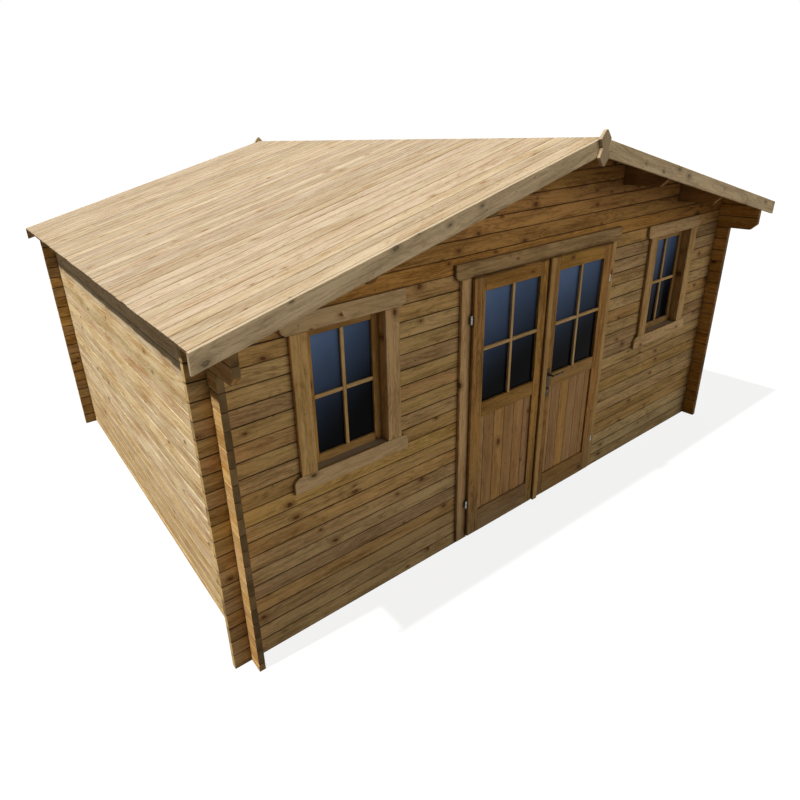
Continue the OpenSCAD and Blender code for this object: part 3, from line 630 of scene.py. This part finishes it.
for hand, seed in (("left", 81), ("right", 82)):
    node = f"{hand}_window_trim"
    low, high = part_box(node)
    uprights = Timber(f"{hand}_window_side_trims", seed)
    crosses = Timber(f"{hand}_window_cross_trims", seed + 10)
    for x in (low.x + TRIM_EAR, high.x - TRIM_EAR - TRIM_WIDE):
        upright_trim(uprights, x, low.z + TRIM_WIDE + FIT_GAP, high.z - TRIM_WIDE - FIT_GAP, low.y, high.y)
    cross_trim(crosses, low.x, high.x, high.z - TRIM_WIDE, high.z, low.y, high.y)
    cross_trim(crosses, low.x, high.x, low.z + TRIM_WIDE, low.z, low.y, high.y)
    uprights.piece(trim_upright, "cabin", "trim", node)
    crosses.piece(trim_level, "cabin", "trim", node)

# Door frame: two jambs and a head planed from the same pine as the window linings. They close the
# cut ends of the logs at the doorway, and the leaves shut against them.
JAMB_THICK, HEAD_DEEP = 0.028, 0.05
low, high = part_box("door_frame")
jambs = Timber("door_jambs", 101)
head = Timber("door_head", 102)
jamb_top = high.z - HEAD_DEEP - FIT_GAP
squared(jambs, low, (low.x + JAMB_THICK, high.y, jamb_top), "z")
squared(jambs, (high.x - JAMB_THICK, low.y, low.z), (high.x, high.y, jamb_top), "z")
squared(head, (low.x, low.y, high.z - HEAD_DEEP), high, "x")
# The jambs take the paler side lining colour, which is painted light
jambs.piece(lit_lining_side, "cabin", "trim", "door_frame")
head.piece(lining_end, "cabin", "trim", "door_frame")

# Door trims: two pine uprights and a head trim nailed round the doorway, like those of the windows.
# The head trim is darker, since water runs down on it.
HEAD_PALE, HEAD_BROWN = (0.605, 0.41, 0.21), (0.335, 0.21, 0.094)
low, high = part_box("door_trim")
uprights = Timber("door_side_trims", 111)
crosses = Timber("door_head_trim", 112)
for x in (low.x + TRIM_EAR, high.x - TRIM_EAR - TRIM_WIDE):
    upright_trim(uprights, x, low.z, high.z - TRIM_WIDE - FIT_GAP, low.y, high.y)
cross_trim(crosses, low.x, high.x, high.z - TRIM_WIDE, high.z, low.y, high.y)
uprights.piece(trim_upright, "cabin", "trim", "door_trim")
crosses.piece(pine("door_head_pine", "xz", HEAD_PALE, HEAD_BROWN, board_tone, board_joint, contrast=1.6,
                   top=TRIM_TOP_SHADE),
              "cabin", "trim", "door_trim")

# Door leaves: pine stiles and rails rebated to lap over the frame, with glazing above the lock rail
# and a panel of upright tongued boards below it, hung to open outwards.
LEAF_PALE, LEAF_BROWN = (0.655, 0.35, 0.105), (0.31, 0.15, 0.038)
RAIL_PALE, RAIL_BROWN = (0.60, 0.345, 0.12), (0.30, 0.158, 0.046)
LEAF_WET = (0.68, 0.77, 1.0)
PANEL_PALE, PANEL_BROWN = (0.63, 0.37, 0.16), (0.38, 0.205, 0.078)
LIP_THICK, LIP_REACH, LIP_TOP, LIP_LAP = 0.018, 0.033, 0.025, 0.004
STILE, MEETING = 0.093, {"left": -0.088, "right": 0.103}
TOP_RAIL, LOCK_RAIL, BOTTOM_RAIL, PANEL_TOP = 0.098, 0.098, 0.179, 0.942
PANEL_PITCH, PANEL_FIRST, PANEL_LAST, PANEL_V = 0.097, 0.04, 0.02, 0.0025
LEAF_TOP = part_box("left_door_frame")[1].z
SHADOWED_EDGE, UNSHADOWED_BELOW = 0.006, 0.018


def leaf_top_shadow(tree, x, y, z):
    """Painted shadow of the head trim along the top edge of a leaf."""
    return ramp(tree, z, LEAF_TOP - UNSHADOWED_BELOW, LEAF_TOP - SHADOWED_EDGE)


# The stiles and rails take a painted shadow along their top edge
leaf_upright = pine("leaf_upright_pine", "zx", LEAF_PALE, LEAF_BROWN, board_tone, leaf_top_shadow, knots=0.06,
                    contrast=1.5, wet=LEAF_WET)
leaf_level = pine("leaf_level_pine", "xz", RAIL_PALE, RAIL_BROWN, board_tone, leaf_top_shadow, knots=0.06,
                  contrast=1.25, wet=LEAF_WET)
panel_wood = pine("panel_pine", "zx", PANEL_PALE, PANEL_BROWN, board_tone, board_joint, knots=0.07,
                  line_darkness=0.9, contrast=1.1)

for hand, side, seed, stile_seed, rail_seed in (("left", -1, 121, 121, 175),
                                                ("right", 1, 127, 131, 390)):
    node, body = f"{hand}_door_frame", f"{hand}_door"
    low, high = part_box(node)
    lip = low.y + LIP_THICK
    hinge_edge, meet_edge = (low.x, high.x) if side < 0 else (high.x, low.x)
    glass_hinge, glass_meet = hinge_edge - side * STILE, MEETING[hand]
    x0, x1 = min(glass_hinge, glass_meet), max(glass_hinge, glass_meet)
    glass_low, glass_high = PANEL_TOP + LOCK_RAIL, high.z - TOP_RAIL
    panel_low = low.z + BOTTOM_RAIL

    # The lip of a stile laps over the frame, and the core behind it shuts into the doorway
    stiles = Timber(f"{hand}_door_stiles", stile_seed)
    core_low, core_top = lip - LIP_LAP, high.z - LIP_TOP
    core_edge = hinge_edge - side * LIP_REACH
    for lip_edge, back_edge, glass_edge in ((hinge_edge, core_edge, glass_hinge),
                                            (meet_edge, meet_edge, glass_meet)):
        start, stop = sorted((lip_edge, glass_edge))
        squared(stiles, (start, low.y, low.z), (stop, lip, high.z), "z")
        start, stop = sorted((back_edge, glass_edge))
        squared(stiles, (start, core_low, low.z), (stop, high.y, core_top), "z")

    rails = Timber(f"{hand}_door_rails", rail_seed)
    a, b = x0 + FIT_GAP, x1 - FIT_GAP
    squared(rails, (a, low.y, low.z), (b, high.y, panel_low), "x")
    squared(rails, (a, low.y, PANEL_TOP), (b, high.y, glass_low), "x")
    squared(rails, (a, low.y, glass_high), (b, lip, high.z), "x")
    squared(rails, (a, core_low, glass_high), (b, high.y, core_top), "x")
    glazing_bars(f"{hand}_door", seed + 30, (x0, low.y, glass_low), (x1, high.y, glass_high), body,
                 "door_timber", node)
    stiles.piece(leaf_upright, body, "door_timber", node)
    rails.piece(leaf_level, body, "door_timber", node)

    panel_node = f"{hand}_door_panel"
    near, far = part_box(panel_node)
    boards = Timber(f"{hand}_door_boards", seed + 20)
    cuts = [near.x] + [x0 + PANEL_FIRST + k * PANEL_PITCH for k in range(6)]
    cuts = [x for x in cuts if x < far.x - PANEL_LAST] + [far.x]
    for one, two in zip(cuts, cuts[1:]):
        boards.tongued((one, near.y, near.z), (two, far.y, far.z), "z", "y", PANEL_V)
    boards.piece(panel_wood, body, "door_panel", panel_node)

# Cover strip: a slim planed strip of paler pine, nailed on the meeting edge of the right leaf so
# that it hides the gap between the two leaves.
STRIP_PALE, STRIP_BROWN = (0.66, 0.43, 0.18), (0.42, 0.25, 0.09)
STRIP_ARRIS = 0.004
low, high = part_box("right_door_strip")
strip = Timber("right_door_cover_strip", 151)
squared(strip, low, high, "z", STRIP_ARRIS)
strip.piece(pine("strip_pine", "zx", STRIP_PALE, STRIP_BROWN, board_tone, board_joint, knots=0.05),
            "right_door", "door_timber", "right_door_strip")

# Hinges: zinc-plated steel barrels on pins, two to a leaf, with a shank let into the trim and an
# arm into the edge of the leaf. The plating has dulled unevenly.
ZINC_BRIGHT, ZINC_DULL = (0.32, 0.32, 0.305), (0.17, 0.17, 0.16)


def metal(name, bright, dull, rough):
    """Metal whose surface has dulled in cloudy patches."""
    finish, tree, shader = new_finish(name)
    shader.inputs["Metallic"].default_value = 1.0
    spot = put(tree, "TexCoord", {}, out="Object")
    bloom = put(tree, "TexNoise", {"Vector": spot, "Scale": 140.0, "Detail": 4.0})
    wear = ramp(tree, bloom, 0.35, 0.65)
    tree.links.new(tint(tree, wear, bright, dull), shader.inputs["Base Color"])
    tree.links.new(sum_up(tree, "MULTIPLY_ADD", wear, 0.2, rough), shader.inputs["Roughness"])
    tree.links.new(put(tree, "Bump", {"Height": bloom, "Strength": 0.2, "Distance": 0.0003}),
                   shader.inputs["Normal"])
    return finish


dress(metal("hinge_zinc", ZINC_BRIGHT, ZINC_DULL, 0.32), "door_hinge_pins", "left_door_hinges",
      "right_door_hinges")

# Handle: a cast long plate with a lever and a lock cylinder, screwed to the right leaf. The brass
# finish is tarnished brown.
BRASS_BRIGHT, BRASS_DULL = (0.08, 0.058, 0.032), (0.035, 0.025, 0.014)
dress(metal("handle_brass", BRASS_BRIGHT, BRASS_DULL, 0.5), "right_door_handle")

# Studio: a pale floor, a key lamp high on the left, soft fills from the front right and the back,
# and the camera at the viewing angle of the photograph.
KEY_FROM = Vector((-1.0, 0.05, 2.05))
FILL_FROM = Vector((0.62, -0.78, 0.2))
BACK_FROM = Vector((0.45, 0.85, 0.35))
FLOOR_HALF, FLOOR_DROP = 60.0, 0.001


def lamp(name, strength, toward, spread, colour):
    """A far lamp that shines from one side; spread is its width in degrees."""
    light = bpy.data.lights.new(name, "SUN")
    light.energy = strength
    light.angle = math.radians(spread)
    light.color = colour
    made = bpy.data.objects.new(name, light)
    made.rotation_euler = toward.to_track_quat("Z", "Y").to_euler()
    bpy.context.scene.collection.objects.link(made)


lamp("key", 4.0, KEY_FROM, 1.2, (1.0, 0.98, 0.95))
lamp("fill", 1.1, FILL_FROM, 60.0, (1.0, 0.915, 0.78))
lamp("back", 0.6, BACK_FROM, 60.0, (1.0, 0.97, 0.93))


def seen(tree):
    """1 for rays that show the studio: from the camera, a mirror or through glass."""
    path = tree.nodes.new("ShaderNodeLightPath").outputs
    direct = sum_up(tree, "ADD", path["Is Camera Ray"], path["Is Glossy Ray"])
    return put(tree, "Clamp", {0: sum_up(tree, "ADD", direct, path["Is Transmission Ray"])})


world = bpy.data.worlds.new("studio")
bpy.context.scene.world = world
world.use_nodes = True
air = world.node_tree
room = air.nodes["Background"]
room.inputs["Color"].default_value = (0.74, 0.82, 0.82, 1.0)
room.inputs["Strength"].default_value = 0.045
white = put(air, "Background", {"Color": (1, 1, 1, 1), "Strength": 1.0})
air.links.new(put(air, "MixShader", {0: seen(air), 1: room.outputs[0], 2: white}),
              air.nodes["World Output"].inputs["Surface"])

floor_mesh = bmesh.new()
bmesh.ops.create_grid(floor_mesh, x_segments=1, y_segments=1, size=FLOOR_HALF)
floor_data = bpy.data.meshes.new("floor")
floor_mesh.to_mesh(floor_data)
floor = bpy.data.objects.new("floor", floor_data)
floor.location.z = -FLOOR_DROP
bpy.context.scene.collection.objects.link(floor)
paper = bpy.data.materials.new("floor_paper")
paper.use_nodes = True
sheet = paper.node_tree
sheet.nodes.remove(sheet.nodes["Principled BSDF"])
glow = put(sheet, "Emission", {"Color": (1, 1, 1, 1), "Strength": 0.86})
lit = put(sheet, "BsdfDiffuse", {"Color": (0.16, 0.16, 0.16, 1)})
dim = put(sheet, "BsdfDiffuse", {"Color": (0.10, 0.09, 0.075, 1)})
sheet.links.new(put(sheet, "MixShader", {0: seen(sheet), 1: dim,
                                         2: put(sheet, "AddShader", {0: glow, 1: lit})}),
                sheet.nodes["Material Output"].inputs["Surface"])
floor_data.materials.append(paper)

lens = bpy.data.cameras.new("camera")
lens.sensor_width = 36.0
lens.lens = 26.016
lens.shift_x = 0.0582
lens.shift_y = -0.0480
camera = bpy.data.objects.new("camera", lens)
camera.location = (-3.0776, -4.0798, 2.7192)
camera.rotation_euler = [math.radians(a) for a in (67.540, 2.767, -35.244)]
bpy.context.scene.collection.objects.link(camera)
bpy.context.scene.camera = camera
bpy.context.scene.view_settings.view_transform = "Standard"
